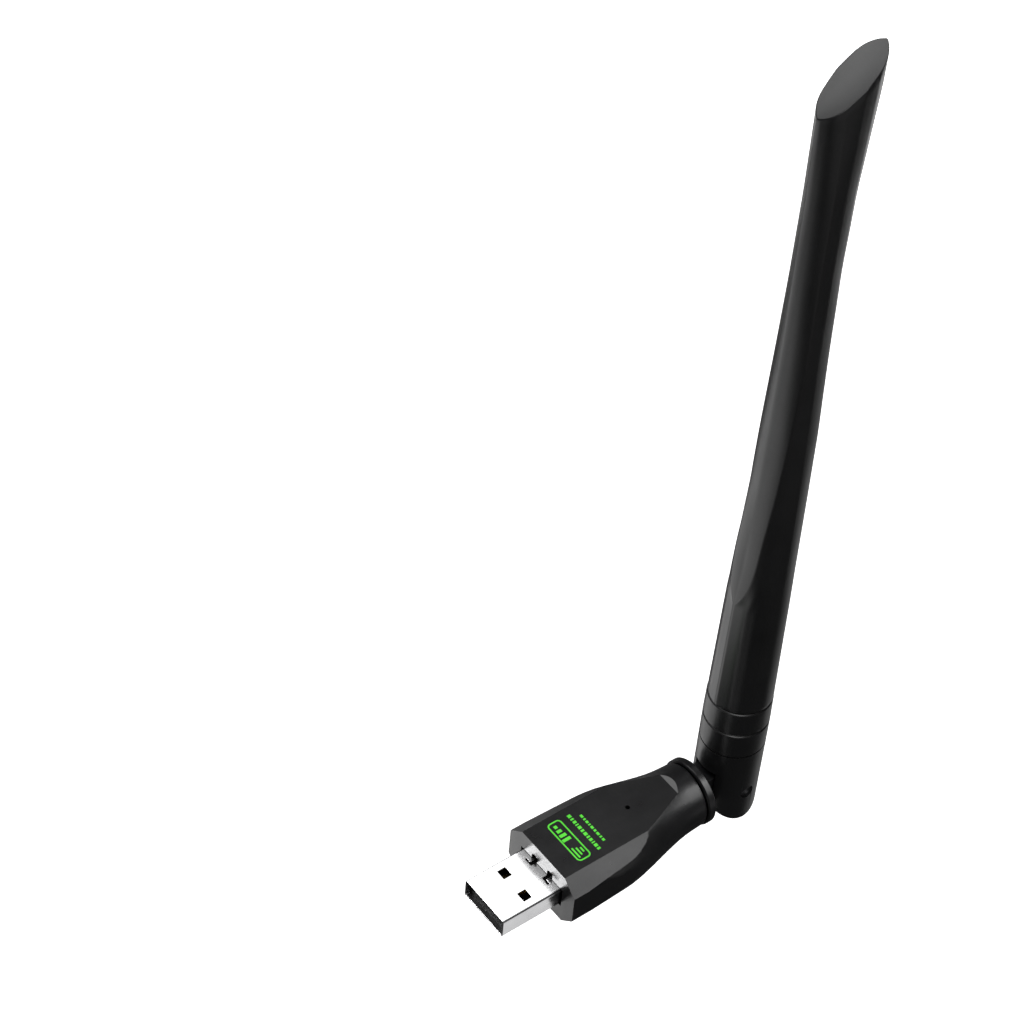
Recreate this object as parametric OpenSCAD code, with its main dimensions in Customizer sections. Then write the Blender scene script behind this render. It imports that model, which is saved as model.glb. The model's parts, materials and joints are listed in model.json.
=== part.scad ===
// USB wifi adapter with a folding, turning rod antenna.
// The plug points along -Y, the housing runs back along +Y, and the antenna stands up along +Z.
// The origin is on the plug's axis, in the housing's front face.

/* [Plug] */
// width of the metal plug shell
plug_w = 12.0; // [11.9:0.05:12.1]
// height of the metal plug shell
plug_h = 4.5; // [4.4:0.05:4.6]
// length of shell that stands out of the housing
plug_l = 13.5; // [11.75:0.25:15]
// thickness of the shell's sheet metal
shell_t = 0.3; // [0.2:0.05:0.4]

/* [Housing] */
// full width across the two side faces
housing_w = 20.0; // [18:0.5:24]
// width of the flat top face
top_flat_w = 13.3; // [10:0.1:16]
// width of the flat bottom face
bottom_flat_w = 14.0; // [10:0.1:16]
// height of the flat top face above the plug axis
top_z = 6.5; // [5:0.1:8]
// depth of the flat bottom face below the plug axis
bottom_z = 6.2; // [5:0.1:8]
// top of each upright side face
side_top_z = 3.5; // [2:0.1:5]
// bottom of each upright side face
side_bottom_z = 3.3; // [2:0.1:5]
// length from the front face to the end of the round neck
housing_l = 35.7; // [34:0.1:37]
// wall thickness of both halves
wall = 1.4; // [1:0.1:2]
// radius of the round neck at its end
neck_r = 6.75; // [6.5:0.05:7.2]

/* [Swivel and hinge] */
// length of the turning collar's ring
collar_l = 1.85; // [1.5:0.05:3.2]
// radius of the collar's ring
collar_r = 7.05; // [6.8:0.05:7.5]
// distance from the front face to the hinge pin
pivot_y = 46.1; // [45.5:0.1:50]
// radius of the hinge pins
pin_r = 1.5; // [1:0.1:2]
// width of the collar's tongue
tongue_w = 5.2; // [4:0.1:6]

/* [Antenna] */
// radius of the antenna at its foot
foot_r = 6.58; // [6.5:0.02:6.8]
// height of the antenna's slanted end above the hinge pin, on the antenna's axis
tip_z = 167.6; // [164:0.2:170]
// rise of the slanted end for each millimetre towards the back
tip_slope = 0.84; // [0:0.02:1.2]

/* [Detail] */
// facets on round faces
$fn = 72; // [32:4:128]

/* [Hidden] */

black = [0.09, 0.09, 0.10];
steel = [0.85, 0.85, 0.87];
gold = [0.90, 0.72, 0.30];
brass = [0.80, 0.65, 0.35];
copper = [0.78, 0.45, 0.25];
solder = [0.72, 0.73, 0.75];
cut = 0.01;            // how far a cutter runs past the face that it opens
far = 40;              // longer than any wall that a cutter goes through
small_sides = 24;      // facets on thin round pieces and small holes

// plug
corner_r = 0.5;        // bend radius of the shell's corners
shell_back = 2.5;      // the shell ends this far inside the front face
inner_w = plug_w - 2 * shell_t;
inner_h = plug_h - 2 * shell_t;
window_x = 3.15;       // middle of each latch window
window_setback = 7.05; // from the plug's mouth to the middle of each window
window_y = window_setback - plug_l;
window_w = 2.2;
window_l = 1.9;
tab_inner_x = 1.75;    // the L-shaped cut that frees each spring tab
tab_outer_x = 3.65;
tab_front_y = -1.25;
tab_cut = 0.4;
tab_side_cut = 0.75;
tab_back_y = 1.5;
leg_l = 3.0;           // solder legs on the shell's sides
leg_h = 1.3;
insulator_top = -0.1;  // height of the face that carries the contacts
insulator_front = 1.0; // the insulator starts this far inside the plug's mouth
insulator_gap = 0.1;
block_front = -1.0;    // the insulator fills the whole shell behind this line
channel_gap = 0.3;     // room beside the outer contacts where they pass through the block
contact_t = 0.15;
contact_w = 1.0;
outer_contact_x = 3.5;
inner_contact_x = 1.0;
outer_contact_front = 2.2;
inner_contact_front = 3.1;
contact_back = 4.6;

// housing
chamfer_reach = 14;    // size of the blocks that cut the housing's slanted faces
flat_end = 30.6;       // the flat faces stop here and ramp up to the round neck
ramp_end = 32.3;
ramp_top = 7.2;        // height that the ramps reach, just over the neck
ramp_front = 29.6;
shoulder_r = 10.75;    // the round shape before the flat faces are cut
shoulder_taper = 0.045;  // radius that it loses for each millimetre of length
shoulder_start = 14;   // from here it also curves in to the neck
shoulder_l = 19;
shoulder_steps = 14;
part_z = -0.4;         // height of the seam between the two halves
slot_half_w = 6.45;    // the opening for the plug
slot_top = 2.4;
slot_bottom = -2.35;
notch_x = 2.4;         // relief above each spring tab
notch_w = 1.7;
notch_top = 3.9;
notch_depth = 1.0;
cavity_front = 1.5;
cavity_back = 30.2;
chamber_front = 31.2;  // chamber that traps the collar's flange
chamber_back = 32.6;
chamber_r = 5.2;
spigot_r = 3.4;
spigot_fit = 0.06;
neck_chamfer = 0.25;
light_hole_y = 20.4;
light_hole_r = 0.5;
peg_x = 5.5;           // pegs that hold the circuit board between the halves
peg_y = 12.0;
peg_r = 0.7;
peg_top = 0.9;
peg_hole_r = 0.8;
peg_hole_top = 1.1;
post_r = 1.6;
rib_w = 8.0;
rib_l = 1.0;

// circuit board
board_t = 1.0;
board_top = insulator_top;
board_front = 2.6;
board_back = 26.5;
board_half_w = 7.4;
board_taper_y = 18.0;
board_back_half_w = 5.2;
wifi_chip_at = [0, 12.5];
wifi_chip_size = [5, 5, 0.9];
flash_chip_at = [-4.4, 17.2];
flash_chip_size = [3, 2, 0.7];
crystal_at = [4.6, 16.6];
crystal_size = [3.2, 2.5, 0.7];
led_size = [1.6, 0.8, 0.6];
chip_part_size = [0.6, 1.0, 0.5];
part_row_y = 7.6;      // a row of chip parts behind the plug, with a zigzag at each end
part_row_x = -2.5;
part_row_pitch = 1.0;
part_row_count = 6;
zigzag_x = 3.2;
zigzag_pitch = 1.1;
zigzag_step = 1.5;
zigzag_count = 4;
feed_part_at = [1.6, 18.4];

// cable
coax_r = 0.565;
coax_sides = 16;
coax_lift = 0.48;      // height of the cable's centre where it lies on the board
coax_pad_y = 21.8;
feed_bends = [[25.5, 0.48], [26.6, 0.48], [27.4, 0.42], [28.4, 0.2], [29.2, 0.06], [30, 0]];
fillet_gap = 0.05;     // solder beside the cable's end
fillet_size = [0.85, 1.6, 0.45];
coax_bore_r = 0.8;
bend_r = 4.3;          // the cable's bend over the hinge
coax_top = 64;

// collar and hinge
collar_front = housing_l + 0.3;
collar_back = collar_front + collar_l;
collar_round = 0.3;
flange_r = 5.1;
flange_gap = 0.06;
tongue_r = 4.7;        // round end of the tongue, about the pin
tongue_half_h = 4.3;
cable_slot_w = 2.0;
cable_slot_floor = -1.0;
ear_r = 6.7;           // round lower end of the fork
ear_drop = 0.8;        // its middle is this far below the pins
fork_gap = 5.8;
fork_top = 5.7;
knuckle_top = 11.6;
knuckle_spigot_r = 4.2;
knuckle_spigot_top = 20;
pin_outer_x = 5.9;
pin_inner_x = 1.3;
pin_fit = 0.05;

// antenna
sleeve_bottom = 11.8;
sleeve_top = 24.2;
sleeve_top_r = 6.48;
sleeve_groove_z = 18.2;
groove_depth = 0.4;
groove_h = 0.45;
lip = 0.25;
sleeve_spigot_r = 4.55;
sleeve_spigot_top = 30.0;
tube_bottom = 24.5;
socket_r = 4.6;
socket_top = 31.0;
bore_r = 4.4;
bore_top_r = 1.9;
bore_top = 150;
loft_top = 176;
side_points = 4;       // points along each stretch between two corners of a section

// Each list below gives one measure of the tube's cross-section against height over the pin.
// Up to the foot of the front facet the section is a plain circle.
ridge_angle = [[24, 4], [52, 4], [54, 13], [56, 20], [59, 26], [63, 30], [70, 34], [80, 42],
    [92, 49], [112, 56], [130, 52], [146, 51], [158, 46], [166, 43]];
ridge_r = [[24, 6.43], [52, 6], [59, 5.9], [63, 5.8], [70, 5.47], [80, 5.1], [92, 5.02],
    [112, 4.74], [130, 4.44], [146, 4.3], [158, 4.3], [166, 4.3]];
nose_r = [[24, 6.43], [52, 6], [54, 5.91], [59, 5.57], [63, 5.33], [70, 5.07], [80, 4.8],
    [92, 4.67], [112, 4.76], [130, 5.12], [146, 5.43], [158, 6], [166, 6.4]];
side_r = [[24, 6.43], [52, 6], [59, 5.92], [70, 5.62], [80, 5.35], [92, 4.87], [112, 4.08],
    [130, 3.6], [146, 3.4], [158, 3.48], [166, 3.53]];
corner_back_r = [[24, 6.43], [52, 6], [59, 5.85], [70, 5.67], [80, 5.5], [92, 5.27],
    [112, 4.5], [130, 3.95], [146, 3.9], [158, 4.2], [166, 4.4]];
back_r = [[24, 6.43], [52, 6], [80, 5.65], [92, 5.47], [112, 5], [130, 4.75], [146, 5.1],
    [158, 5.88], [166, 6.4]];
// The next two lists give the shape of a section between its corners: 0 is round and 1 is straight.
// The first one holds between the nose and the ridges.
nose_flatness = [[24, 0], [52, 0], [59, 0.2], [80, 0.45], [112, 0.4], [130, 0.2], [146, 0.1],
    [158, 0], [166, 0]];
side_flatness = [[24, 0], [52, 0], [59, 0.2], [80, 0.45], [112, 0.75], [146, 0.8], [166, 0.8]];
ring_heights = [tube_bottom, 38, 52, 54, 56, 59, 63, 70, 75, 80, 86, 92, 102, 112, 121, 130,
    138, 146, 152, 158, 166, loft_top];

// antenna wire
wire_r = 0.5;
whip_joint_1 = 100;
whip_joint_2 = 110;
whip_end = 145;
coil_r = 1.3;
coil_turns = 5;
coil_steps = 12;
coil_sides = 8;         // facets round the coil's wire
disc_r = 1.7;          // end discs of the coil
disc_h = 1.2;
sleeve_r = 2.0;
sleeve_t = 0.25;
sleeve_foot = 38;
solder_h = 1.0;
shrink_t = 0.2;
shrink_foot = 59;
shrink_top = 66;

// badge
badge_t = 0.06;
badge_y = 6.15;
badge_w = 10.4;
badge_l = 3.2;
badge_frame = 0.3;
badge_corner_r = 0.9;
bar_w = 0.7;           // four bars that grow from left to right
bar_pitch = 1.15;
first_bar_x = -3.9;
first_bar_l = 0.7;
bar_growth = 0.4;
bar_drop = 0.25;
stripe_x = 3.1;        // three stripes that shrink towards the back
stripe_w = 2.6;
stripe_shrink = 0.7;
stripe_pitch = 0.75;
stripe_l = 0.35;
dash_ws = [0.75, 0.4, 0.6, 0.3, 0.7, 0.5];   // widths of the dashes, used in turn
dash_gap = 0.3;
dash_rows = [[-4.9, 9.7, 12, 0.75], [-3.6, 11.7, 9, 0.55]];  // first x, y, number of dashes, length

// ---------- helpers ----------

// lays a shape that stands along +Z down along +Y
module along_y(y = 0) {
    translate([0, y, 0])
        rotate([-90, 0, 0])
            children();
}

// turns a shape that stands along +Z to lie along +X
module along_x() {
    rotate([0, 90, 0])
        children();
}

module at_pivot() {
    translate([0, pivot_y, 0])
        children();
}

// a box given by its lowest and highest corners
module span(low, high) {
    translate(low)
        cube(high - low);
}

// one copy on each side of the middle plane
module both_sides() {
    children();
    mirror([1, 0, 0])
        children();
}

// a rectangle with round corners, made of plain squares and circles
module rounded_rect(w, h, r) {
    square([w - 2 * r, h], center = true);
    square([w, h - 2 * r], center = true);
    for (x = [-1, 1])
        for (y = [-1, 1])
            translate([x * (w / 2 - r), y * (h / 2 - r)])
                circle(r);
}

// a plain tube standing along +Z
module pipe(outer, inner, bottom, top) {
    translate([0, 0, bottom])
        difference() {
            cylinder(r = outer, h = top - bottom);
            translate([0, 0, -cut])
                cylinder(r = inner, h = top - bottom + 2 * cut);
        }
}

// ---------- swept wire ----------

function unit(v) = v / norm(v);

function heading(path, i) =
    let (last = len(path) - 1)
    unit(path[min(i + 1, last)] - path[max(i - 1, 0)]);

// a ring of points round a point of the path, square to its heading
function wire_ring(centre, along, side, radius, sides) =
    let (u = unit(cross(along, side)), v = cross(along, u))
    [for (k = [0:sides - 1]) centre + radius * (cos(360 * k / sides) * u + sin(360 * k / sides) * v)];

function ring_band(lower, upper, count) =
    [for (k = [0:count - 1]) let (n = (k + 1) % count)
        each [[lower + k, upper + k, upper + n], [lower + k, upper + n, lower + n]]];

// a round wire that follows a path, which never runs along the given side direction
module wire(path, radius, side, sides) {
    rings = len(path);
    points = [for (i = [0:rings - 1]) each wire_ring(path[i], heading(path, i), side, radius, sides)];
    walls = [for (i = [0:rings - 2]) each ring_band(i * sides, (i + 1) * sides, sides)];
    foot = [[for (k = [0:sides - 1]) k]];
    head = [[for (k = [0:sides - 1]) rings * sides - 1 - k]];
    polyhedron(points, concat(foot, head, walls), convexity = 6);
}

// ---------- plug ----------

module shell_section() {
    difference() {
        rounded_rect(plug_w, plug_h, corner_r);
        rounded_rect(inner_w, inner_h, corner_r - shell_t);
    }
}

module latch_windows() {
    for (x = [-1, 1])
        translate([x * window_x, window_y, 0])
            cube([window_w, window_l, far], center = true);
}

// the L-shaped cut in the top sheet, and the strip that it leaves is the spring tab
module tab_cut_right() {
    span([tab_inner_x, tab_front_y, 0], [tab_outer_x, tab_front_y + tab_cut, far]);
    span([tab_inner_x, tab_front_y, 0], [tab_inner_x + tab_side_cut, tab_back_y, far]);
}

module solder_leg_right() {
    span([plug_w / 2 - shell_t, shell_back - cut, board_top],
        [plug_w / 2, shell_back + leg_l, board_top + leg_h]);
}

module usb_shell() {
    color(steel) {
        difference() {
            along_y(-plug_l)
                linear_extrude(plug_l + shell_back)
                    shell_section();
            latch_windows();
            both_sides()
                tab_cut_right();
        }
        both_sides()
            solder_leg_right();
    }
}

module contact_strip(x, front) {
    span([x - contact_w / 2, front - plug_l, insulator_top],
        [x + contact_w / 2, contact_back, insulator_top + contact_t]);
}

module usb_contacts() {
    color(gold)
        both_sides() {
            contact_strip(outer_contact_x, outer_contact_front);
            contact_strip(inner_contact_x, inner_contact_front);
        }
}

module usb_insulator() {
    half = inner_w / 2 - insulator_gap;
    low = -inner_h / 2;
    high = inner_h / 2;
    channel_half = outer_contact_x + contact_w / 2 + channel_gap;
    channel_top = insulator_top + contact_t;
    color([0.13, 0.13, 0.14]) {
        span([-half, insulator_front - plug_l, low], [half, shell_back, insulator_top]);
        span([-half, block_front, channel_top], [half, shell_back, high]);
        both_sides()
            span([channel_half, block_front, insulator_top], [half, shell_back, channel_top]);
    }
}

// ---------- housing ----------

function ease(t) = let (u = min(max(t, 0), 1)) u * u * (3 - 2 * u);
function shoulder_radius(y) =
    let (drop = shoulder_r - shoulder_taper * housing_l - neck_r)
    shoulder_r - shoulder_taper * y - drop * ease((y - shoulder_start) / shoulder_l);

// the round outline from the front face to the neck, less an even inset
function shoulder_outline(inset, back) =
    concat([[0, 0], [shoulder_r - inset, 0]],
        [for (i = [0:shoulder_steps])
            let (y = shoulder_start + i * (back - shoulder_start) / shoulder_steps)
            [shoulder_radius(y) - inset, y]],
        [[0, back]]);

// cuts one slanted face through two points of the front outline
module slanted_face(a, b, back) {
    tilt = atan2(b[1] - a[1], b[0] - a[0]);
    translate([a[0], -cut, a[1]])
        rotate([0, -tilt, 0])
            translate([-chamfer_reach, 0, -chamfer_reach])
                cube([2 * chamfer_reach, back, chamfer_reach]);
}

// everything outside the flat top, bottom, sides and slanted faces
module flat_faces(inset, back) {
    side_x = housing_w / 2 - inset;
    top_x = top_flat_w / 2;
    bottom_x = bottom_flat_w / 2;
    span([-far, -cut, top_z - inset], [far, back, far]);
    span([-far, -cut, -far], [far, back, inset - bottom_z]);
    both_sides() {
        span([side_x, -cut, -far], [far, back, far]);
        slanted_face([side_x, side_top_z - inset / 2], [top_x - inset / 2, top_z - inset], back);
        mirror([0, 0, 1])
            slanted_face([side_x, side_bottom_z - inset / 2],
                [bottom_x - inset / 2, bottom_z - inset], back);
    }
}

// the wedges that ramp the flat top and bottom up to the round neck
module flat_ramps() {
    translate([-far, 0, 0])
        rotate([90, 0, 90])
            linear_extrude(2 * far) {
                polygon([[ramp_front, top_z], [flat_end, top_z], [ramp_end, ramp_top],
                    [ramp_end, far], [ramp_front, far]]);
                polygon([[ramp_front, -bottom_z], [flat_end, -bottom_z], [ramp_end, -ramp_top],
                    [ramp_end, -far], [ramp_front, -far]]);
            }
}

module housing_outside() {
    difference() {
        along_y()
            rotate_extrude()
                polygon(concat(
                    [for (p = shoulder_outline(0, housing_l - neck_chamfer)) if (p[0] > 0) p],
                    [[neck_r - neck_chamfer, housing_l], [0, housing_l], [0, 0]]));
        flat_faces(0, flat_end);
        flat_ramps();
    }
}

// the arched relief above a spring tab
module tab_notch() {
    arch_z = notch_top - notch_w / 2;
    span([notch_x - notch_w / 2, -cut, 0], [notch_x + notch_w / 2, notch_depth, arch_z]);
    translate([notch_x, 0, arch_z])
        along_y(-cut)
            cylinder(r = notch_w / 2, h = notch_depth + cut);
}

// the hollow inside both halves, with the chamber for the collar's flange and its bore
module housing_inside() {
    difference() {
        along_y()
            rotate_extrude()
                polygon(shoulder_outline(wall, cavity_back));
        span([-far, -far, -far], [far, cavity_front, far]);
        flat_faces(wall, far);
    }
    span([-slot_half_w, -cut, slot_bottom], [slot_half_w, cavity_front + cut, slot_top]);
    both_sides()
        tab_notch();
    along_y(cavity_back - cut)
        cylinder(r = coax_bore_r, h = far);
    along_y(chamber_front)
        cylinder(r = chamber_r, h = chamber_back - chamber_front);
    along_y(chamber_back - cut)
        cylinder(r = spigot_r + spigot_fit, h = far);
}

module board_post(x, from, to, hole_from, hole_to) {
    translate([x, peg_y, from])
        difference() {
            cylinder(r = post_r, h = to - from);
            translate([0, 0, hole_from - from])
                cylinder(r = peg_hole_r, h = hole_to - hole_from);
        }
}

module housing_top() {
    roof = top_z - wall;
    color(black) {
        difference() {
            housing_outside();
            span([-far, -far, -far], [far, far * 2, part_z]);
            housing_inside();
            translate([0, light_hole_y, 0])
                cylinder(r = light_hole_r, h = far, $fn = small_sides);
        }
        both_sides()
            board_post(peg_x, board_top, roof + cut, board_top - cut, peg_hole_top);
        span([-rib_w / 2, cavity_front - cut, plug_h / 2],
            [rib_w / 2, cavity_front + rib_l, roof + cut]);
    }
}

module housing_bottom() {
    floor_z = wall - bottom_z;
    board_bottom = board_top - board_t;
    color(black) {
        difference() {
            housing_outside();
            span([-far, -far, part_z], [far, far * 2, far]);
            housing_inside();
        }
        both_sides() {
            translate([peg_x, peg_y, floor_z - cut])
                cylinder(r = post_r, h = board_bottom - floor_z + cut);
            translate([peg_x, peg_y, board_bottom - cut])
                cylinder(r = peg_r, h = peg_top - board_bottom);
        }
        span([-rib_w / 2, cavity_front - cut, floor_z - cut],
            [rib_w / 2, cavity_front + rib_l, -plug_h / 2]);
    }
}

// ---------- electronics ----------

module circuit_board() {
    color([0.10, 0.32, 0.20])
        translate([0, 0, board_top - board_t])
            difference() {
                linear_extrude(board_t)
                    polygon([[-board_half_w, board_front], [board_half_w, board_front],
                        [board_half_w, board_taper_y], [board_back_half_w, board_back],
                        [-board_back_half_w, board_back], [-board_half_w, board_taper_y]]);
                both_sides()
                    translate([peg_x, peg_y, -cut])
                        cylinder(r = peg_hole_r, h = board_t + 2 * cut);
            }
}

// a block that stands on the board
module on_board(at, size) {
    translate([at[0] - size[0] / 2, at[1] - size[1] / 2, board_top])
        cube(size);
}

module wifi_chip() {
    color([0.12, 0.12, 0.13])
        on_board(wifi_chip_at, wifi_chip_size);
}

module flash_chip() {
    color([0.14, 0.14, 0.15])
        on_board(flash_chip_at, flash_chip_size);
}

module crystal() {
    color(steel)
        on_board(crystal_at, crystal_size);
}

module chip_parts() {
    color([0.70, 0.60, 0.45]) {
        for (i = [0:part_row_count - 1])
            on_board([part_row_x + i * part_row_pitch, part_row_y], chip_part_size);
        for (i = [0:zigzag_count - 1])
            both_sides()
                on_board([zigzag_x + i * zigzag_pitch, part_row_y + (i % 2) * zigzag_step],
                    chip_part_size);
        both_sides()
            on_board(feed_part_at, chip_part_size);
    }
}

module status_led() {
    color([0.95, 0.95, 0.90])
        on_board([0, light_hole_y], led_size);
}

// ---------- cable ----------

module coax_feed() {
    route = concat([[coax_pad_y, coax_lift]], feed_bends, [[pivot_y - bend_r, 0]]);
    color([0.15, 0.15, 0.15])
        wire([for (p = route) [0, p[0], p[1]]], coax_r, [1, 0, 0], coax_sides);
}

module coax_solder() {
    color(solder)
        both_sides()
            translate([coax_r + fillet_gap, coax_pad_y, board_top])
                cube(fillet_size);
}

module coax_hinge() {
    color([0.15, 0.15, 0.15])
        translate([0, pivot_y - bend_r, bend_r])
            rotate([0, 90, 0])
                rotate_extrude(angle = 90)
                    translate([bend_r, 0])
                        circle(coax_r, $fn = small_sides);
}

// ---------- printed badge ----------

function dash_width(i) = dash_ws[i % len(dash_ws)];
function dash_start(i) = i == 0 ? 0 : dash_start(i - 1) + dash_width(i - 1) + dash_gap;

module badge_bar(x, y, w, l) {
    span([x - w / 2, y - l / 2, top_z], [x + w / 2, y + l / 2, top_z + badge_t]);
}

// a framed row of growing bars and two rows of dashes, with no lettering
module badge_print() {
    color([0.36, 0.88, 0.22]) {
        translate([0, badge_y, top_z])
            linear_extrude(badge_t)
                difference() {
                    rounded_rect(badge_w, badge_l, badge_corner_r);
                    rounded_rect(badge_w - 2 * badge_frame, badge_l - 2 * badge_frame,
                        badge_corner_r - badge_frame);
                }
        for (i = [0:3])
            badge_bar(first_bar_x + i * bar_pitch, badge_y - bar_drop,
                bar_w, first_bar_l + i * bar_growth);
        for (i = [0:2])
            badge_bar(stripe_x, badge_y + (i - 1) * stripe_pitch,
                stripe_w - i * stripe_shrink, stripe_l);
        for (row = dash_rows)
            for (i = [0:row[2] - 1])
                let (w = dash_width(i))
                    badge_bar(row[0] + dash_start(i) + w / 2, row[1], w, row[3]);
    }
}

// ---------- swivel collar ----------

module collar_ring() {
    along_y()
        rotate_extrude()
            polygon([[0, collar_front], [collar_r - collar_round, collar_front],
                [collar_r, collar_front + collar_round], [collar_r, collar_back - collar_round],
                [collar_r - collar_round, collar_back], [0, collar_back]]);
}

module collar_spigot() {
    along_y(chamber_front + flange_gap)
        cylinder(r = spigot_r, h = collar_front - chamber_front);
    along_y(chamber_front + flange_gap)
        cylinder(r = flange_r, h = chamber_back - chamber_front - 2 * flange_gap);
}

module collar_tongue() {
    half = tongue_w / 2;
    span([-half, collar_back - cut, -tongue_half_h], [half, pivot_y, tongue_half_h]);
    at_pivot()
        along_x()
            translate([0, 0, -half])
                cylinder(r = tongue_r, h = tongue_w);
}

module swivel_collar() {
    cable_front = pivot_y - bend_r;
    color(black)
        difference() {
            union() {
                collar_ring();
                collar_spigot();
                collar_tongue();
            }
            along_y(chamber_front - cut)
                cylinder(r = coax_bore_r, h = cable_front - chamber_front + 1);
            span([-cable_slot_w / 2, cable_front, cable_slot_floor], [cable_slot_w / 2, far * 2, far]);
            at_pivot()
                along_x()
                    translate([0, 0, -far])
                        cylinder(r = pin_r + pin_fit, h = 2 * far);
        }
}

// ---------- antenna knuckle ----------

// the round foot of the antenna, rounded about a line just below the pins
module knuckle_outside() {
    intersection() {
        translate([0, 0, -ear_r - ear_drop])
            cylinder(r = foot_r, h = ear_r + ear_drop + knuckle_top);
        union() {
            translate([0, 0, -ear_drop])
                along_x()
                    translate([0, 0, -far])
                        cylinder(r = ear_r, h = 2 * far);
            span([-far, -far, -ear_drop], [far, far, far]);
        }
    }
    translate([0, 0, knuckle_top - cut])
        cylinder(r = knuckle_spigot_r, h = knuckle_spigot_top - knuckle_top);
}

module antenna_knuckle() {
    color(black)
        at_pivot()
            difference() {
                knuckle_outside();
                span([-fork_gap / 2, -far, -far], [fork_gap / 2, far, fork_top]);
                cylinder(r = coax_bore_r, h = far);
                along_x()
                    translate([0, 0, -far])
                        cylinder(r = pin_r, h = 2 * far);
            }
}

module hinge_pin() {
    at_pivot()
        along_x()
            translate([0, 0, pin_inner_x])
                cylinder(r = pin_r, h = pin_outer_x - pin_inner_x);
}

module hinge_pin_right() {
    color(steel)
        hinge_pin();
}

module hinge_pin_left() {
    color(steel)
        mirror([1, 0, 0])
            hinge_pin();
}

// the band between the knuckle and the tube, with one groove round it
module hinge_sleeve() {
    low = sleeve_groove_z - groove_h / 2;
    high = sleeve_groove_z + groove_h / 2;
    color(black)
        at_pivot()
            rotate_extrude()
                polygon([[knuckle_spigot_r, sleeve_bottom],
                    [foot_r - lip / 2, sleeve_bottom], [foot_r, sleeve_bottom + lip / 2],
                    [foot_r, low - lip], [foot_r - lip, low],
                    [foot_r - groove_depth, low], [foot_r - groove_depth, high], [foot_r, high],
                    [sleeve_top_r, sleeve_top - lip], [sleeve_top_r - lip, sleeve_top],
                    [sleeve_spigot_r, sleeve_top], [sleeve_spigot_r, sleeve_spigot_top],
                    [coax_bore_r, sleeve_spigot_top], [coax_bore_r, knuckle_spigot_top],
                    [knuckle_spigot_r, knuckle_spigot_top]]);
}

// ---------- antenna tube ----------

// a point between two corners, given as angle from the nose and radius:
// on an arc where flat is 0, on the straight line between them where it is 1
function polar(angle, r) = [r * sin(angle), -r * cos(angle)];
function between(a, b, t, flat) =
    (1 - flat) * polar(a[0] + t * (b[0] - a[0]), a[1] + t * (b[1] - a[1]))
    + flat * (polar(a[0], a[1]) * (1 - t) + polar(b[0], b[1]) * t);

// half a section, from the nose round one side to the back, which stays round
function half_section(z) =
    let (nose_flat = lookup(z, nose_flatness), side_flat = lookup(z, side_flatness),
        flats = [nose_flat, side_flat, side_flat, 0],
        corners = [[0, lookup(z, nose_r)], [lookup(z, ridge_angle), lookup(z, ridge_r)],
            [90, lookup(z, side_r)], [135, lookup(z, corner_back_r)], [180, lookup(z, back_r)]])
    [for (c = [0:3]) for (i = [0:side_points - 1])
        between(corners[c], corners[c + 1], i / side_points, flats[c])];

function full_section(z) =
    let (half = half_section(z), n = len(half), back = [0, lookup(z, back_r)])
    concat(half, [back], [for (i = [n - 1:-1:1]) [-half[i][0], half[i][1]]]);

module tube_outside() {
    rings = [for (z = ring_heights) full_section(z)];
    count = len(rings[0]);
    last = len(rings) - 1;
    points = [for (i = [0:last]) for (p = rings[i]) [p[0], p[1], ring_heights[i]]];
    walls = [for (i = [0:last - 1]) each ring_band(i * count, (i + 1) * count, count)];
    foot = [[for (k = [0:count - 1]) k]];
    head = [[for (k = [0:count - 1]) last * count + count - 1 - k]];
    polyhedron(points, concat(foot, head, walls), convexity = 6);
}

// everything above the slanted end
module above_tip() {
    translate([0, 0, tip_z])
        rotate([atan(tip_slope), 0, 0])
            span([-far, -far, 0], [far, far, far]);
}

module tube_bore() {
    translate([0, 0, tube_bottom - cut])
        cylinder(r = socket_r, h = socket_top - tube_bottom + cut);
    translate([0, 0, socket_top - cut])
        cylinder(r1 = bore_r, r2 = bore_top_r, h = bore_top - socket_top);
}

module antenna_tube() {
    color(black)
        at_pivot()
            difference() {
                tube_outside();
                above_tip();
                tube_bore();
            }
}

// ---------- antenna wire ----------

module coax_antenna() {
    color([0.15, 0.15, 0.15])
        at_pivot()
            translate([0, 0, bend_r])
                cylinder(r = coax_r, h = coax_top - bend_r, $fn = small_sides);
}

module dipole_sleeve() {
    color(brass)
        at_pivot()
            pipe(sleeve_r, sleeve_r - sleeve_t, sleeve_foot, coax_top - solder_h);
}

module sleeve_solder() {
    color(solder)
        at_pivot()
            pipe(sleeve_r, coax_r, coax_top - solder_h, coax_top);
}

module heat_shrink() {
    color([0.05, 0.05, 0.05])
        at_pivot()
            pipe(sleeve_r + shrink_t, sleeve_r, shrink_foot, shrink_top);
}

module whip_lower() {
    color(copper)
        at_pivot()
            translate([0, 0, coax_top])
                cylinder(r = wire_r, h = whip_joint_1 - coax_top, $fn = small_sides);
}

// the coil winds up between two end discs that sit on the straight wires
module phasing_coil() {
    turn_h = (whip_joint_2 - whip_joint_1 - 2 * disc_h + wire_r) / coil_turns;
    start = whip_joint_1 + disc_h - wire_r / 2;
    wound = [for (i = [0:coil_turns * coil_steps])
        [coil_r * cos(360 * i / coil_steps), coil_r * sin(360 * i / coil_steps),
            start + turn_h * i / coil_steps]];
    color(copper)
        at_pivot() {
            wire(wound, wire_r / 2, [0, 0, 1], coil_sides);
            for (z = [whip_joint_1, whip_joint_2 - disc_h])
                translate([0, 0, z])
                    cylinder(r = disc_r, h = disc_h, $fn = small_sides);
        }
}

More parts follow.
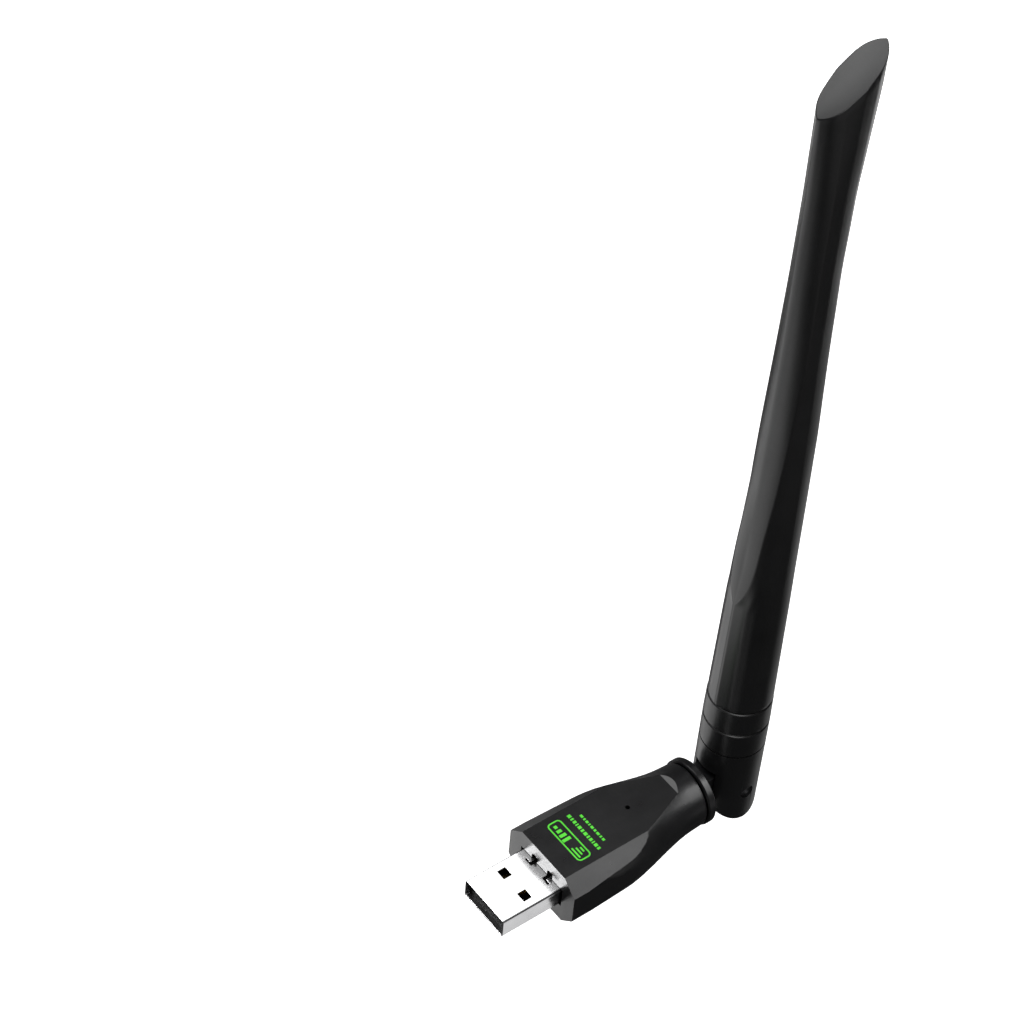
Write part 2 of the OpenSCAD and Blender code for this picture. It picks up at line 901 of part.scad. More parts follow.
module whip_upper() {
    color(copper)
        at_pivot()
            translate([0, 0, whip_joint_2])
                cylinder(r = wire_r, h = whip_end - whip_joint_2, $fn = small_sides);
}

// ---------- the part ----------

usb_shell();
usb_insulator();
usb_contacts();
housing_top();
housing_bottom();
circuit_board();
wifi_chip();
flash_chip();
crystal();
chip_parts();
status_led();
coax_feed();
coax_solder();
badge_print();
swivel_collar();
coax_hinge();
antenna_knuckle();
hinge_pin_right();
hinge_pin_left();
hinge_sleeve();
antenna_tube();
coax_antenna();
dipole_sleeve();
sleeve_solder();
heat_shrink();
whip_lower();
phasing_coil();
whip_upper();
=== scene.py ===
"""Looks of the USB wifi adapter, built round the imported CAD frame. All lengths are in metres."""
import json
import math

import bmesh
import bpy
import numpy as np
from mathutils import Matrix, Vector


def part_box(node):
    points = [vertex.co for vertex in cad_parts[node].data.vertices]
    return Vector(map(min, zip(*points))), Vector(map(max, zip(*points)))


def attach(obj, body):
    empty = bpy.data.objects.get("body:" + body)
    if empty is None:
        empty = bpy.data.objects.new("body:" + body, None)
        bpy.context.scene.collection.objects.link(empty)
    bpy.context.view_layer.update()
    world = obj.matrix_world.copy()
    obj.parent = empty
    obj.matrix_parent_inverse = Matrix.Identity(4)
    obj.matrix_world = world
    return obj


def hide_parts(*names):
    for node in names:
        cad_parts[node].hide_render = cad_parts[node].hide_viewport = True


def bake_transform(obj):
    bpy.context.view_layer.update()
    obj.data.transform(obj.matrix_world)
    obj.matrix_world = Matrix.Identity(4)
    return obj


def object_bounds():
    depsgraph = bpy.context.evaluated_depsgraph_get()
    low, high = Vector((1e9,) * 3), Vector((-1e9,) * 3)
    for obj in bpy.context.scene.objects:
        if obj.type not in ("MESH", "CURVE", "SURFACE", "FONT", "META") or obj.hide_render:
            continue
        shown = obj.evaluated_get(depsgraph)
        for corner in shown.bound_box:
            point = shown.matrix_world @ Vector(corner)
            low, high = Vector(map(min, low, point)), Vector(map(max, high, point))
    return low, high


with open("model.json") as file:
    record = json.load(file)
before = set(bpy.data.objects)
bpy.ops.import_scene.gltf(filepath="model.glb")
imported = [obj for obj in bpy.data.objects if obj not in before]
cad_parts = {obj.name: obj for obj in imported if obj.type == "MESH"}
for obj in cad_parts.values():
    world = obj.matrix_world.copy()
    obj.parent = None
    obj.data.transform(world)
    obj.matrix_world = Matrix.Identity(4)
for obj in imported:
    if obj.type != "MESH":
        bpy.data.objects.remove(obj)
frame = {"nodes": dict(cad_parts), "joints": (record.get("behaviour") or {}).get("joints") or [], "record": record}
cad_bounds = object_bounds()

nodes = frame["nodes"]
PIVOT = Vector(next(j["pos_m"] for j in frame["joints"] if j["name"] == "tilt"))


# ---------- camera ----------

AZIMUTH = math.radians(49.675)    # 0 looks along +Y, and 90 degrees along -X
ELEVATION = math.radians(45.04)
ROLL = math.radians(4.91)
CAMERA_AT = Vector((0.23344, -0.21311, 0.41328))
LENS = 95.3            # in millimetres, like the sensor
SENSOR = 36
NEAREST = 0.01         # the camera sees nothing nearer or further than these
FURTHEST = 20


def camera_axes():
    """Right, up and back of the camera, as unit vectors."""
    a, e = AZIMUTH, ELEVATION
    back = Vector((math.sin(a) * math.cos(e), -math.cos(a) * math.cos(e), math.sin(e)))
    level = Vector((math.cos(a), math.sin(a), 0))
    rise = back.cross(level)
    right = level * math.cos(ROLL) + rise * math.sin(ROLL)
    up = rise * math.cos(ROLL) - level * math.sin(ROLL)
    return right, up, back


def add_camera():
    right, up, back = camera_axes()
    data = bpy.data.cameras.new("camera")
    data.lens = LENS
    data.sensor_width = SENSOR
    data.clip_start = NEAREST
    data.clip_end = FURTHEST
    camera = bpy.data.objects.new("camera", data)
    bpy.context.scene.collection.objects.link(camera)
    facing = Matrix((right, up, back)).transposed().to_4x4()
    camera.matrix_world = Matrix.Translation(CAMERA_AT) @ facing
    bpy.context.scene.camera = camera


# ---------- materials ----------

class Shader:
    """A material with a Principled shader, and short ways to add and join nodes."""

    def __init__(self, name, **settings):
        self.material = bpy.data.materials.new(name)
        self.material.use_nodes = True
        self.tree = self.material.node_tree
        self.shader = self.tree.nodes["Principled BSDF"]
        self.place = self.tree.nodes.new("ShaderNodeTexCoord").outputs["Object"]
        for socket, value in settings.items():
            self.shader.inputs[socket.replace("_", " ")].default_value = value

    def feed(self, socket, value):
        """Links the output of another node to a socket, or sets the socket to a plain value."""
        if hasattr(value, "links"):
            self.tree.links.new(value, socket)
        else:
            socket.default_value = value

    def add(self, kind, options=None, **inputs):
        node = self.tree.nodes.new("ShaderNode" + kind)
        for name, value in (options or {}).items():
            setattr(node, name, value)
        for name, value in inputs.items():
            self.feed(node.inputs[name.replace("_", " ")], value)
        return node

    def noise(self, scale, detail=3.0, stretch=(1, 1, 1), roughness=0.5):
        vector = self.add("Mapping", Vector=self.place, Scale=stretch).outputs[0]
        return self.add("TexNoise", Vector=vector, Scale=scale, Detail=detail,
                        Roughness=roughness).outputs["Fac"]

    def cells(self, scale):
        return self.add("TexVoronoi", Vector=self.place, Scale=scale).outputs["Distance"]

    def ramp(self, value, stops):
        node = self.add("ValToRGB", Fac=value)
        elements = node.color_ramp.elements
        while len(elements) < len(stops):
            elements.new(0.5)      # each stop is put in its place below
        for element, (position, colour) in zip(elements, stops):
            element.position = position
            element.color = (*colour, 1)
        return node.outputs["Color"]

    def span(self, value, low, high, start=0.3, end=0.7):
        """Runs from low to high while the value runs from start to end."""
        return self.add("MapRange", Value=value, From_Min=start, From_Max=end,
                        To_Min=low, To_Max=high).outputs["Result"]

    def math(self, operation, a, b):
        node = self.add("Math", {"operation": operation})
        for socket, value in zip(node.inputs, (a, b)):
            self.feed(socket, value)
        return node.outputs[0]

    def mix(self, factor, a, b):
        """A blend of two colours, each a tuple or the output of another node."""
        node = self.add("Mix", {"data_type": "RGBA"})
        self.feed(node.inputs[0], factor)
        for socket, colour in zip(node.inputs[6:8], (a, b)):     # the two sockets that take a colour
            self.feed(socket, (*colour, 1) if isinstance(colour, tuple) else colour)
        return node.outputs[2]

    def bump(self, height, distance, strength=1.0, under=None):
        """A bumpy surface, on top of the bumps that are under it."""
        node = self.add("Bump", Strength=strength, Distance=distance, Height=height)
        if under is not None:
            self.feed(node.inputs["Normal"], under)
        return node.outputs["Normal"]

    def use(self, **outputs):
        """Feeds the Principled shader with the outputs of other nodes, and gives the material."""
        for socket, output in outputs.items():
            self.feed(self.shader.inputs[socket.replace("_", " ")], output)
        return self.material


# Where a material takes them, dark and light are the colours that it wanders between, rough
# holds its lowest and highest roughness, and depth is the height of its bumps.

def moulded(name, dark, light, rough, grain, depth):
    """Black moulded plastic: fine spark-eroded grain, faint flow marks and handling smudges."""
    s = Shader(name)
    tone = s.noise(60, 4, roughness=0.6)
    speck = s.noise(grain * 0.6, 2)
    colour = s.mix(s.span(tone, 0.0, 1.0), dark, light)
    colour = s.mix(s.span(speck, 0.0, 0.35, 0.45, 0.8), colour, tuple(c * 1.9 for c in light))
    smudge = s.noise(180, 5, (1, 0.5, 0.35), 0.65)
    roughness = s.span(smudge, rough[0], rough[1])
    fine = s.bump(s.noise(grain, 3, roughness=0.7), depth)
    waves = s.bump(s.noise(120, 2), 0.00006, 0.5, fine)
    return s.use(Base_Color=colour, Roughness=roughness, Normal=waves)


def sheet_metal(name, dark, light, rough, along, anisotropy=0.4):
    """Plated sheet: rolling grain, small scratches and dull patches.

    The grain is drawn out along the axis that has the smallest number in along.
    """
    s = Shader(name, Metallic=1.0, Anisotropic=anisotropy)
    streak = s.noise(900, 4, along, 0.7)
    patch = s.noise(220, 4)
    scratch = s.ramp(s.noise(500, 6, (1, 0.05, 1), 0.8),
                     [(0.0, (0, 0, 0)), (0.66, (0, 0, 0)), (0.72, (1, 1, 1))])
    colour = s.mix(s.span(patch, 0.0, 1.0), dark, light)
    roughness = s.math("ADD", s.span(streak, rough[0], rough[1]), s.math("MULTIPLY", scratch, 0.15))
    fine = s.bump(streak, 0.000004, 0.6)
    return s.use(Base_Color=colour, Roughness=roughness, Normal=fine)


def wire_metal(name, dark, light, rough):
    """Drawn or stamped metal, duller where it is tarnished."""
    s = Shader(name, Metallic=1.0)
    tarnish = s.noise(700, 5, (1, 1, 0.4), 0.7)
    colour = s.mix(s.span(tarnish, 0.0, 1.0), dark, light)
    return s.use(Base_Color=colour, Roughness=s.span(tarnish, rough[1], rough[0]),
                 Normal=s.bump(s.noise(2500, 4), 0.00001, 0.6))


def solder_metal():
    """Solder with a rippled surface."""
    s = Shader("solder", Metallic=1.0)
    ripple = s.cells(1600)
    colour = s.mix(s.span(ripple, 0.0, 1.0, 0.1, 0.6), (0.66, 0.67, 0.69), (0.42, 0.42, 0.43))
    return s.use(Base_Color=colour, Roughness=s.span(s.noise(900), 0.25, 0.5),
                 Normal=s.bump(ripple, 0.00008, 0.8))


def printed_board():
    """Green solder mask over copper tracks."""
    s = Shader("board_green", Coat_Weight=0.4, Coat_Roughness=0.15)
    track = s.add("TexBrick", {"offset": 0.35}, Vector=s.place, Scale=420.0, Mortar_Size=0.16,
                  Brick_Width=1.6, Row_Height=0.28).outputs["Fac"]
    weave = s.noise(1500, 2)
    mask = s.mix(s.span(weave, 0.0, 1.0), (0.012, 0.10, 0.045), (0.02, 0.15, 0.07))
    colour = s.mix(track, mask, (0.035, 0.22, 0.09))
    return s.use(Base_Color=colour, Roughness=s.span(weave, 0.3, 0.42),
                 Normal=s.bump(track, 0.00003, 0.7))


def grained(name, dark, light, rough, scale, depth, **settings):
    """A plain material with a fine cast or pressed surface."""
    s = Shader(name, **settings)
    grain = s.noise(scale, 4, roughness=0.65)
    tone = s.noise(scale * 0.08, 3)
    colour = s.mix(s.span(tone, 0.0, 1.0), dark, light)
    return s.use(Base_Color=colour, Roughness=s.span(grain, rough[0], rough[1]),
                 Normal=s.bump(grain, depth, 0.7))


def make_materials():
    return {
        "housing_black": moulded("housing_black", (0.004, 0.004, 0.0045), (0.008, 0.008, 0.0085),
                                 (0.26, 0.36), 4000, 0.000005),
        "collar_black": moulded("collar_black", (0.004, 0.004, 0.0045), (0.008, 0.008, 0.0085),
                                (0.24, 0.34), 4500, 0.000004),
        "antenna_black": moulded("antenna_black", (0.003, 0.003, 0.0033), (0.006, 0.006, 0.0065),
                                 (0.30, 0.40), 5000, 0.000002),
        "plug_metal": sheet_metal("plug_metal", (0.80, 0.80, 0.81), (0.93, 0.93, 0.94),
                                  (0.16, 0.26), (1, 0.04, 1)),
        "can_metal": sheet_metal("can_metal", (0.62, 0.61, 0.58), (0.76, 0.75, 0.72),
                                 (0.22, 0.34), (0.1, 1, 1), 0.2),
        "pin_metal": sheet_metal("pin_metal", (0.20, 0.20, 0.21), (0.34, 0.34, 0.35),
                                 (0.25, 0.4), (1, 1, 1), 0.0),
        "insulator": grained("insulator", (0.004, 0.004, 0.004), (0.008, 0.008, 0.008), (0.5, 0.65),
                             3000, 0.00001, Specular_IOR_Level=0.03),
        "contact_gold": wire_metal("contact_gold", (0.80, 0.55, 0.20), (0.95, 0.72, 0.34),
                                   (0.15, 0.3)),
        "board_green": printed_board(),
        "chip_black": grained("chip_black", (0.018, 0.018, 0.02), (0.035, 0.035, 0.038),
                              (0.5, 0.65), 5000, 0.00001),
        "chip_ceramic": grained("chip_ceramic", (0.36, 0.27, 0.17), (0.5, 0.38, 0.25),
                                (0.4, 0.6), 5000, 0.00001),
        "led_lens": grained("led_lens", (0.75, 0.75, 0.68), (0.85, 0.85, 0.8), (0.12, 0.25),
                            2500, 0.000005, Subsurface_Weight=0.3, Subsurface_Scale=0.0005),
        "cable_black": grained("cable_black", (0.010, 0.010, 0.010), (0.022, 0.022, 0.022),
                               (0.4, 0.55), 4000, 0.00001),
        "solder": solder_metal(),
        "badge_green": grained("badge_green", (0.075, 0.60, 0.030), (0.11, 0.76, 0.045),
                               (0.35, 0.5), 3000, 0.000004),
        "brass_tube": wire_metal("brass_tube", (0.52, 0.36, 0.14), (0.72, 0.52, 0.24), (0.2, 0.36)),
        "shrink_black": grained("shrink_black", (0.008, 0.008, 0.008), (0.02, 0.02, 0.02),
                                (0.45, 0.6), 1800, 0.00002),
        "copper_wire": wire_metal("copper_wire", (0.50, 0.20, 0.08), (0.74, 0.36, 0.18),
                                  (0.2, 0.34)),
    }


# ---------- mesh helpers ----------

SAME_POINT = 0.000002  # points closer than this are joined
FLAT_TURN = 0.6        # in degrees: faces that meet at less than this are one flat face
EDGE_TURN = 28         # in degrees: an edge where faces meet at more than this is rounded
EDGE_STEPS = 2         # across a rounded edge
FLAT_WEIGHT = 80       # how far the biggest faces decide which way the surface faces
EDGE_ROUND = {"housing_top": 0.00018, "housing_bottom": 0.00018, "antenna_knuckle": 0.00015,
              "hinge_sleeve": 0.00015, "swivel_collar": 0.00015, "usb_shell": 0.00006}


def link_mesh(name, mesh, material, body=None):
    piece = bpy.data.objects.new(name, mesh)
    bpy.context.scene.collection.objects.link(piece)
    mesh.materials.append(material)
    if body:
        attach(piece, body)
    return piece


def smooth(mesh, degrees):
    """Smooth shading, with hard edges where faces meet at more than this angle."""
    mesh.shade_smooth()
    mesh.set_sharp_from_angle(angle=math.radians(degrees))


def soften(node, width):
    """Shades a CAD node smooth and rounds its hard edges by modifiers, so its own points stay put."""
    piece = nodes[node]
    mesh = piece.data
    if mesh.attributes.get("custom_normal"):
        mesh.attributes.remove(mesh.attributes["custom_normal"])
    mesh.shade_smooth()
    weld = piece.modifiers.new("join_faces", "WELD")
    weld.merge_threshold = SAME_POINT
    flat = piece.modifiers.new("flat_faces", "DECIMATE")
    flat.decimate_type = "DISSOLVE"
    flat.angle_limit = math.radians(FLAT_TURN)
    bevel = piece.modifiers.new("round_edges", "BEVEL")
    bevel.width = width
    bevel.segments = EDGE_STEPS
    bevel.limit_method = "ANGLE"
    bevel.angle_limit = math.radians(EDGE_TURN)
    bevel.miter_outer = "MITER_ARC"
    bevel.use_clamp_overlap = True
    shade = piece.modifiers.new("flat_faces_stay_flat", "WEIGHTED_NORMAL")
    shade.mode = "FACE_AREA"
    shade.weight = FLAT_WEIGHT


# ---------- antenna tube ----------
# Its heights are over the hinge's axis.

RING_POINTS = 32       # points in each ring of the CAD tube
FINER = 5              # new points for each of them
COLUMNS = RING_POINTS * FINER
ROWS = 150             # along the tube
FACET_FOOT = 0.052     # the front facet starts at this height, with a crisp edge
STRAIGHT_TOP = 0.150   # rows are level up to here, and then lean to meet the slanted end
LAST_RING = 0.158      # the highest ring that the slanted end doesn't cut
GROWTH_END = 0.166     # the outline keeps growing up to here, and is straight above
HEIGHT_DIGITS = 5      # heights are told apart by this many decimals
POINT_DIGITS = 7       # and the points of a ring by this many
LEVEL_GAP = 0.000002   # a ring's points are within this height of it
SEAM_GAP = 0.0001      # in radians: a ring's last point is its first if it's this near a full turn
SOFT_TURN = 13         # in degrees: a ring is round where it turns by less than this at a point
SHARP_TURN = 21        # and it has a sharp corner where it turns by more than this
END_STEPS = 8          # steps that bring a column's top onto the slanted end
SOCKET = (0.0046, 0.031)                     # radius and height of the socket's top
BORE = ((0.0044, 0.031), (0.0019, 0.150))    # the same at both ends of the bore above it
SOCKET_RINGS = 0.030   # below this height the CAD's levels hold points of the socket too
SOCKET_WALL = 0.0005   # the tube's outside is more than this outside the socket
FOOT_ROUND = 0.0002
FOOT_STEPS = 2
RIM_ROUND = 0.00018
RIM_STEPS = 3
EVEN_ROUND = 0.5       # the profile that makes a bevel an arc


def hermite(a, b, slope_a, slope_b, t):
    """A smooth step from a to b with the given slopes, over one unit of t."""
    t2, t3 = t * t, t * t * t
    return ((2 * t3 - 3 * t2 + 1) * a + (t3 - 2 * t2 + t) * slope_a
            + (3 * t2 - 2 * t3) * b + (t3 - t2) * slope_b)


def finer_ring(ring):
    """More points along a closed ring, which is straight up to its sharp corners and round elsewhere.

    Its first point is the nose, which is round however much the ring turns there.
    """
    ahead = np.roll(ring, -1, axis=0) - ring
    behind = ring - np.roll(ring, 1, axis=0)
    turn = np.degrees(np.arccos(np.clip(
        (ahead * behind).sum(1) / (np.linalg.norm(ahead, axis=1) * np.linalg.norm(behind, axis=1)),
        -1, 1)))
    sharp = np.clip((turn - SOFT_TURN) / (SHARP_TURN - SOFT_TURN), 0, 1)[:, None]
    sharp[0] = 0
    mean = (ahead + behind) / 2
    leave = mean * (1 - sharp) + ahead * sharp
    arrive = mean * (1 - sharp) + behind * sharp
    steps = [hermite(ring, np.roll(ring, -1, axis=0), leave, np.roll(arrive, -1, axis=0), i / FINER)
             for i in range(FINER)]
    return np.stack(steps, axis=1).reshape(-1, 2)


def tube_rings():
    """Heights of the CAD tube's rings, and the finer ring at each of them, about the tube's axis."""
    points = np.array([v.co for v in nodes["antenna_tube"].data.vertices])
    points[:, 1] -= PIVOT.y
    heights, rings = [], []
    for height in np.unique(points[:, 2].round(HEIGHT_DIGITS)):
        level = points[abs(points[:, 2] - height) < LEVEL_GAP][:, :2]
        level = np.unique(level.round(POINT_DIGITS), axis=0)
        if height < SOCKET_RINGS:
            level = level[np.linalg.norm(level, axis=1) > SOCKET[0] + SOCKET_WALL]
        if len(level) != RING_POINTS or height > LAST_RING + 10 ** -HEIGHT_DIGITS:
            continue
        turn = np.arctan2(level[:, 0], -level[:, 1]) % math.tau
        turn[turn > math.tau - SEAM_GAP] = 0
        heights.append(height)
        rings.append(finer_ring(level[np.argsort(turn)]))
    return np.array(heights), np.array(rings)


def tube_sampler():
    """A function that gives a point of the tube's outside for a height and a column."""
    heights, rings = tube_rings()
    gaps = np.diff(heights)[:, None, None]
    rates = np.diff(rings, axis=0) / gaps
    inner = (rates[:-1] * gaps[1:] + rates[1:] * gaps[:-1]) / (gaps[1:] + gaps[:-1])
    below = np.concatenate([rates[:1], inner, rates[-1:]])
    above = below.copy()
    foot = int(np.argmin(abs(heights - FACET_FOOT)))
    below[foot], above[foot] = rates[foot - 1], rates[foot]

    def sample(height, column):
        if height >= heights[-1]:
            reach = min(height, GROWTH_END) - heights[-1]
            return rings[-1, column] + rates[-1, column] * reach
        i = min(max(int(np.searchsorted(heights, height, side="right")) - 1, 0), len(heights) - 2)
        gap = heights[i + 1] - heights[i]
        return hermite(rings[i, column], rings[i + 1, column], above[i, column] * gap,
                       below[i + 1, column] * gap, (height - heights[i]) / gap)

    return sample


def slanted_end():
    """A function that gives the height of the slanted end over a point across the tube."""
    mesh = nodes["antenna_tube"].data
    mesh.calc_loop_triangles()
    cut = max((t for t in mesh.loop_triangles if t.normal.z > 0.5 and t.center.z > STRAIGHT_TOP),
              key=lambda t: t.area)
    slope = -cut.normal.y / cut.normal.z
    return lambda y: cut.center.z + slope * (y - (cut.center.y - PIVOT.y))


def tube_grid():
    """Points over the tube's outside, row by row from its foot to its slanted end."""
    sample, end_height = tube_sampler(), slanted_end()
    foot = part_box("antenna_tube")[0].z
    grid = np.zeros((ROWS + 1, COLUMNS, 3))
    for k in range(COLUMNS):
        top = LAST_RING
        for _ in range(END_STEPS):
            top = end_height(sample(top, k)[1])
        for j in range(ROWS + 1):
            height = foot + (LAST_RING - foot) * j / ROWS
            if height > STRAIGHT_TOP:
                lean = (height - STRAIGHT_TOP) * (top - STRAIGHT_TOP)
                height = STRAIGHT_TOP + lean / (LAST_RING - STRAIGHT_TOP)
            grid[j, k] = (*sample(height, k), height)
    flat = grid[:, :, :2]
    grid[:, :, :2] = (np.roll(flat, 1, axis=1) + 2 * flat + np.roll(flat, -1, axis=1)) / 4
    grid[-1, :, 2] = [end_height(y) for y in grid[-1, :, 1]]
    return grid


def add_antenna_tube(materials):
    """The tapered tube with its flattened front, its slanted end and the bore that holds the wire."""
    grid = tube_grid()
    form = bmesh.new()
    turns = np.linspace(0, math.tau, COLUMNS, endpoint=False)

    def bore_ring(radius, height):
        return [form.verts.new(PIVOT + Vector((radius * math.sin(a), -radius * math.cos(a), height)))
                for a in turns]

    def skin(lower, upper):
        for k in range(COLUMNS):
            n = (k + 1) % COLUMNS
            form.faces.new((lower[k], lower[n], upper[n], upper[k]))

    outer = [[form.verts.new(PIVOT + Vector(point)) for point in row] for row in grid]
    for lower, upper in zip(outer, outer[1:]):
        skin(lower, upper)
    lid = form.faces.new(outer[-1])
    inner = [bore_ring(*step) for step in ((SOCKET[0], grid[0, 0, 2]), SOCKET, *BORE)]
    skin(inner[0], outer[0])
    for lower, upper in zip(inner, inner[1:]):
        skin(upper, lower)
    form.faces.new(inner[-1][::-1])
    rim = list(lid.edges)
    lowest = set(outer[0])
    foot = [edge for edge in form.edges if all(point in lowest for point in edge.verts)]
    bmesh.ops.bevel(form, geom=foot, offset=FOOT_ROUND, segments=FOOT_STEPS, profile=EVEN_ROUND,
                    affect="EDGES")
    bmesh.ops.bevel(form, geom=rim, offset=RIM_ROUND, segments=RIM_STEPS, profile=EVEN_ROUND,
                    affect="EDGES")
    bmesh.ops.remove_doubles(form, verts=form.verts, dist=SAME_POINT)
    bmesh.ops.recalc_face_normals(form, faces=form.faces)
    mesh = bpy.data.meshes.new("antenna_tube_skin")
    form.to_mesh(mesh)
    form.free()
    smooth(mesh, 30)
    piece = link_mesh("antenna_tube_skin", mesh, materials["antenna_black"],
                      "antenna")
    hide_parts("antenna_tube")


# ---------- cable over the hinge ----------

BEND_R = 0.0043        # of the cable's middle
CABLE_R = 0.000565
CABLE_SIDES = 20
CABLE_RINGS = 24


def add_hinge_cable(materials):
    """The cable's bend at the hinge, a fixed quarter turn."""
    form = bmesh.new()
    rings = []
    for i in range(CABLE_RINGS + 1):
        turn = math.pi / 2 * i / CABLE_RINGS
        out = Vector((0, math.sin(turn), -math.cos(turn)))
        centre = PIVOT + Vector((0, -BEND_R, BEND_R)) + out * BEND_R
        around = [math.tau * k / CABLE_SIDES for k in range(CABLE_SIDES)]
        rings.append([form.verts.new(centre + CABLE_R * (
            out * math.cos(a) + Vector((1, 0, 0)) * math.sin(a))) for a in around])
    for lower, upper in zip(rings, rings[1:]):
        for k in range(CABLE_SIDES):
            n = (k + 1) % CABLE_SIDES
            form.faces.new((lower[k], lower[n], upper[n], upper[k]))
    form.faces.new(rings[0])
    form.faces.new(rings[-1])
    bmesh.ops.recalc_face_normals(form, faces=form.faces)
    mesh = bpy.data.meshes.new("hinge_cable")
    form.to_mesh(mesh)
    form.free()
    smooth(mesh, 40)
    piece = link_mesh("hinge_cable", mesh, materials["cable_black"])
    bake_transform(piece)
    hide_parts("coax_hinge")


# ---------- light and floor ----------

WORLD_LIGHT = 0.04     # strength of the even light from all sides
WORLD_SEEN = 1.0       # strength of the surround that the camera sees
FLOOR_REACH = 3.0      # from the middle of the floor to its edge
FLOOR_GAP = 0.005      # between the floor and the antenna when it points straight down
FLOOR_GLOW = 0.97
LOW_DROP = -0.3        # how far the low panels' directions dip below level
LOW_DISTANCE = 0.6
LOW_HEIGHT = 0.25
LOW_PANELS = ((90, 0.8, 0.4), (180, 0.8, 0.4), (0, 0.2, 2.0), (-40, 0.2, 2.0),
              (-80, 0.2, 2.0))      # degrees round from +Y towards +X, width and glow


def add_world():
    """A pale surround to look at, and a dim even light from all sides."""
    world = bpy.data.worlds.new("world")
    bpy.context.scene.world = world
    world.use_nodes = True
    tree = world.node_tree
    fill = tree.nodes["Background"]
    fill.inputs["Color"].default_value = (1, 1, 1, 1)
    fill.inputs["Strength"].default_value = WORLD_LIGHT
    seen = tree.nodes.new("ShaderNodeBackground")
    seen.inputs["Color"].default_value = (1, 1, 1, 1)
    seen.inputs["Strength"].default_value = WORLD_SEEN
    mix = tree.nodes.new("ShaderNodeMixShader")
    path = tree.nodes.new("ShaderNodeLightPath")
    tree.links.new(path.outputs["Is Camera Ray"], mix.inputs[0])
    tree.links.new(fill.outputs[0], mix.inputs[1])
    tree.links.new(seen.outputs[0], mix.inputs[2])
    tree.links.new(mix.outputs[0], tree.nodes["World Output"].inputs["Surface"])


def add_floor():
    """A pale floor, just low enough for the antenna to turn all the way round above it."""
    level = -cad_bounds[1].z - FLOOR_GAP
    corners = [(x * FLOOR_REACH, y * FLOOR_REACH, level)
               for x, y in ((-1, -1), (1, -1), (1, 1), (-1, 1))]
    mesh = bpy.data.meshes.new("floor")
    mesh.from_pydata(corners, [], [(0, 1, 2, 3)])
    floor = bpy.data.objects.new("floor", mesh)
    bpy.context.scene.collection.objects.link(floor)
    pale = Shader("floor_pale", Roughness=0.8, Specular_IOR_Level=0.1,
                  Emission_Color=(1, 1, 1, 1), Emission_Strength=FLOOR_GLOW)
    tone = pale.mix(pale.noise(8), (0.90, 0.90, 0.90), (0.93, 0.93, 0.93))
    mesh.materials.append(pale.use(Base_Color=tone))
    floor.visible_glossy = False
    floor.visible_shadow = False
    floor.visible_diffuse = False


def add_panel(name, aim, direction, distance, size, glow, only=()):
    """A soft panel that faces the point aim from the given direction.

    Its glow is the brightness of its face, where 1 is white. It lights every piece, or the ones
    named in only.
    """
    data = bpy.data.lights.new(name, "AREA")
    data.shape = "RECTANGLE"
    data.size, data.size_y = size
    data.energy = glow * math.pi * size[0] * size[1]
    lamp = bpy.data.objects.new(name, data)
    bpy.context.scene.collection.objects.link(lamp)
    lamp.location = aim + Vector(direction).normalized() * distance
    lamp.rotation_mode = "QUATERNION"
    lamp.rotation_quaternion = Vector(direction).to_track_quat("Z", "Y")
    lamp.visible_camera = False
    if only:
        lit = bpy.data.collections.new(name + "_lit")
        for piece in only:
            lit.objects.link(bpy.data.objects[piece])
        lamp.light_linking.receiver_collection = lit


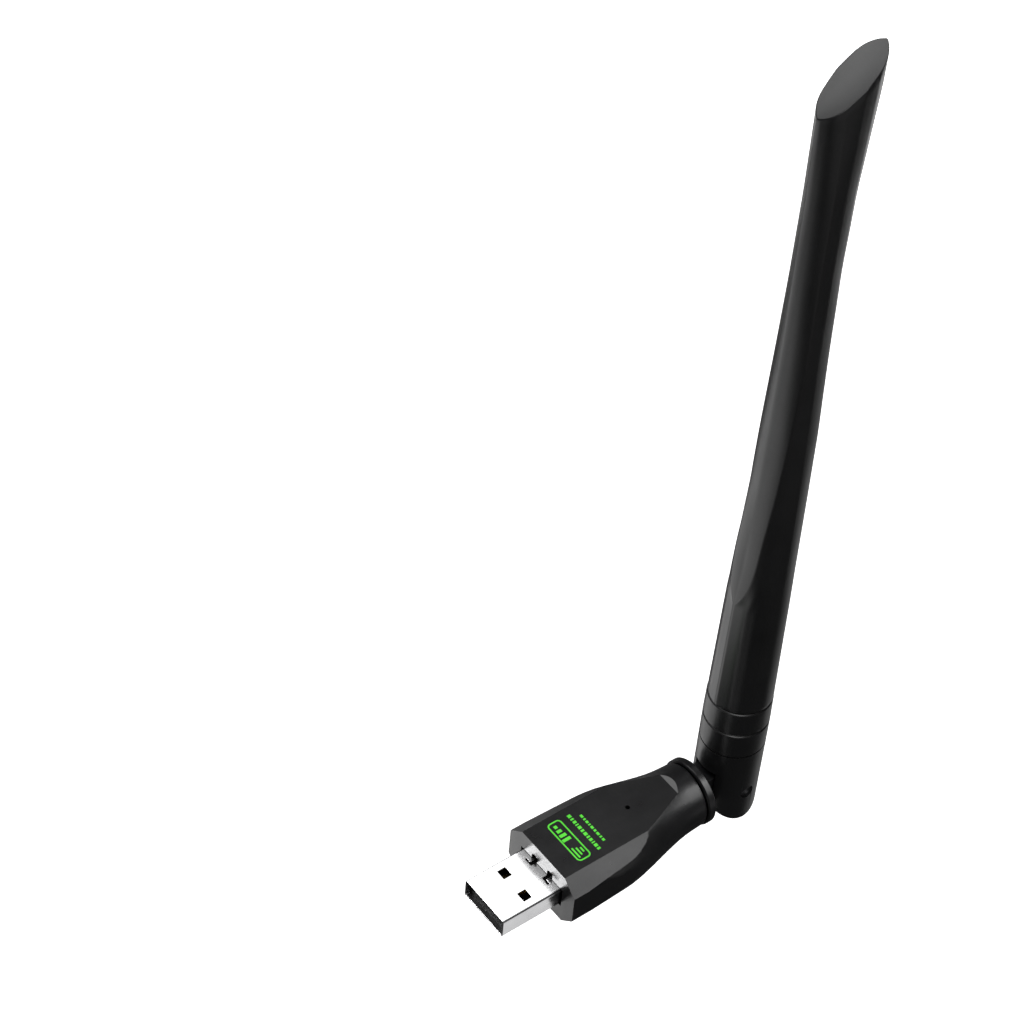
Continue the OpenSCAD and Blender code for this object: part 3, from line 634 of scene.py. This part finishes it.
def add_lights():
    """Soft panels all round. Most light only one group of pieces, so that each has its own sheen."""
    middle = Vector((0, 0.03, 0.03))
    plug_middle = Vector((0, -0.007, 0))
    housing_middle = Vector((0, 0, 0))
    antenna_middle = Vector((0, 0.046, 0.085))
    plug = ("usb_shell", "usb_contacts")
    housing = ("housing_top", "housing_bottom", "swivel_collar", "badge_print")
    antenna = ("antenna_tube_skin", "hinge_sleeve", "antenna_knuckle")
    add_panel("overhead", middle, (0, 0, 1), 1.6, (1.6, 1.6), 0.6)
    add_panel("upper_left", middle, (-0.54, -0.22, 0.81), 1.0, (0.8, 0.8), 3.3)
    add_panel("upper_right", middle, (0.65, 0.46, 0.60), 0.8, (0.5, 0.5), 3.3, housing)
    add_panel("neck_top", middle, (0.38, 0.27, 0.85), 0.8, (0.5, 0.5), 3.3, housing)
    add_panel("plug_top", plug_middle, (-0.54, 0.46, 0.71), 0.6, (0.6, 0.6), 1.6, plug)
    add_panel("plug_front", plug_middle, (-0.54, -0.46, 0.71), 0.6, (0.3, 0.3), 8.0, plug)
    add_panel("plug_side", plug_middle, (0.54, 0.46, -0.71), 0.3, (0.25, 0.25), 0.6, plug)
    add_panel("housing_front", housing_middle, (-0.60, -0.44, -0.67), 0.2, (0.12, 0.12), 1.7,
              housing)
    add_panel("antenna_left", antenna_middle, (-0.41, -0.58, -0.71), 0.3, (0.42, 0.30), 1.2,
              antenna)
    for degrees, width, glow in LOW_PANELS:
        turn = math.radians(degrees)
        add_panel("low_%d" % degrees, middle, (math.sin(turn), math.cos(turn), LOW_DROP),
                  LOW_DISTANCE, (width, LOW_HEIGHT), glow)
    add_panel("antenna_lips", antenna_middle, (0.54, -0.46, 0.71), 0.8, (0.5, 0.5), 4.0, antenna)
    add_panel("antenna_right", antenna_middle, (-0.10, 0.70, -0.71), 0.3, (0.20, 0.30), 0.4,
              antenna)


def main():
    add_camera()
    materials = make_materials()
    for row in frame["record"]["subparts"]:
        piece = nodes[row["node"]]
        piece.data.materials.clear()
        piece.data.materials.append(materials[row["material_slot"]])
    for node, width in EDGE_ROUND.items():
        soften(node, width)
    add_antenna_tube(materials)
    add_hinge_cable(materials)
    add_world()
    add_floor()
    add_lights()
    scene = bpy.context.scene
    scene.view_settings.view_transform = "Standard"
    scene.view_settings.look = "None"


main()
